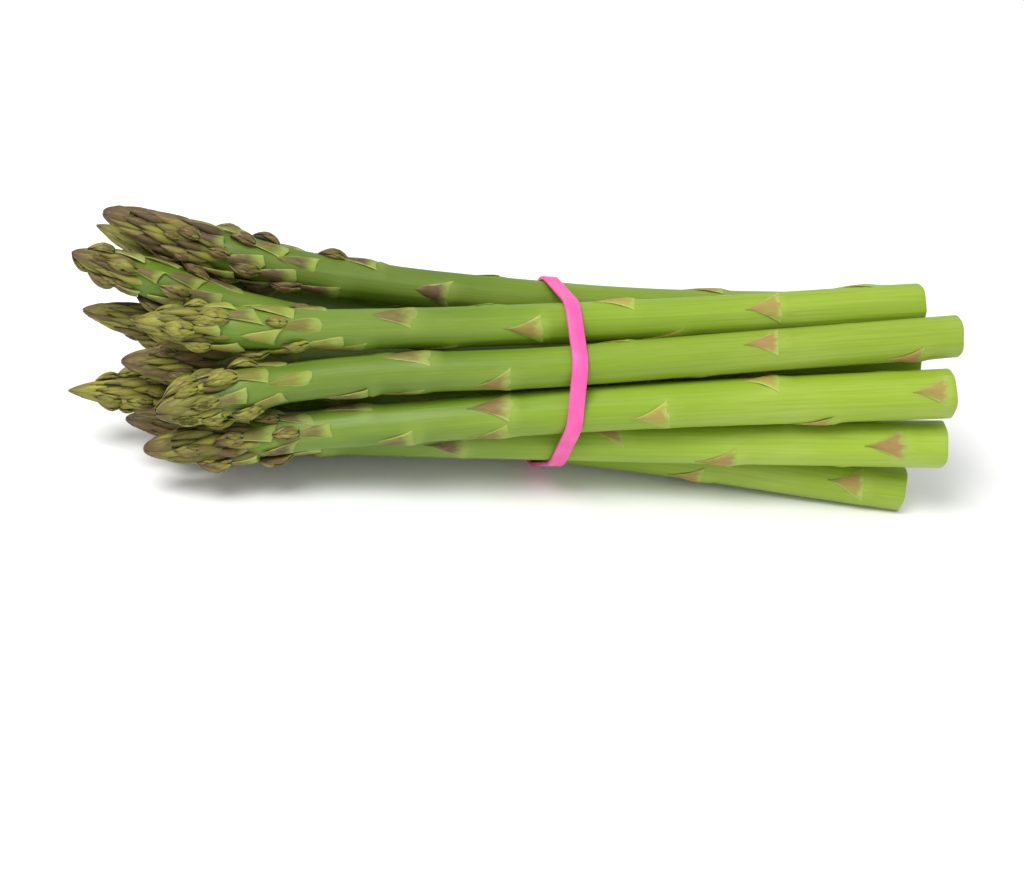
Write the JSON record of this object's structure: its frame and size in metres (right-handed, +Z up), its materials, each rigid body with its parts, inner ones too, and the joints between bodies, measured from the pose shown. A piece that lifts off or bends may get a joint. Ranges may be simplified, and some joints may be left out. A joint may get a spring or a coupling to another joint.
{
  "type": "bundle of asparagus",
  "caption": "Green asparagus spears with scaly purple-green heads, held side by side by a flat elastic band and lying on a surface.",
  "frame": {"origin": "on the surface that the bundle lies on, under the middle of its outline", "axes": "+X along the bundle from its heads to its cut ends, +Z up, -Y the side that the picture shows"},
  "size_m": [0.2288, 0.0602, 0.0602],
  "materials": {
    "spear": "fresh waxy yellow-green stems, deeper green towards the heads, scales tipped purple-brown",
    "band": "satin pink elastic"
  },
  "bodies": {
    "root": {"spear_01": "spear", "spear_02": "spear", "spear_03": "spear", "spear_04": "spear", "spear_05": "spear", "spear_06": "spear", "spear_07": "spear", "spear_08": "spear", "spear_09": "spear", "spear_10": "spear", "spear_11": "spear", "spear_12": "spear", "elastic_band": "band"}
  },
  "joints": []
}
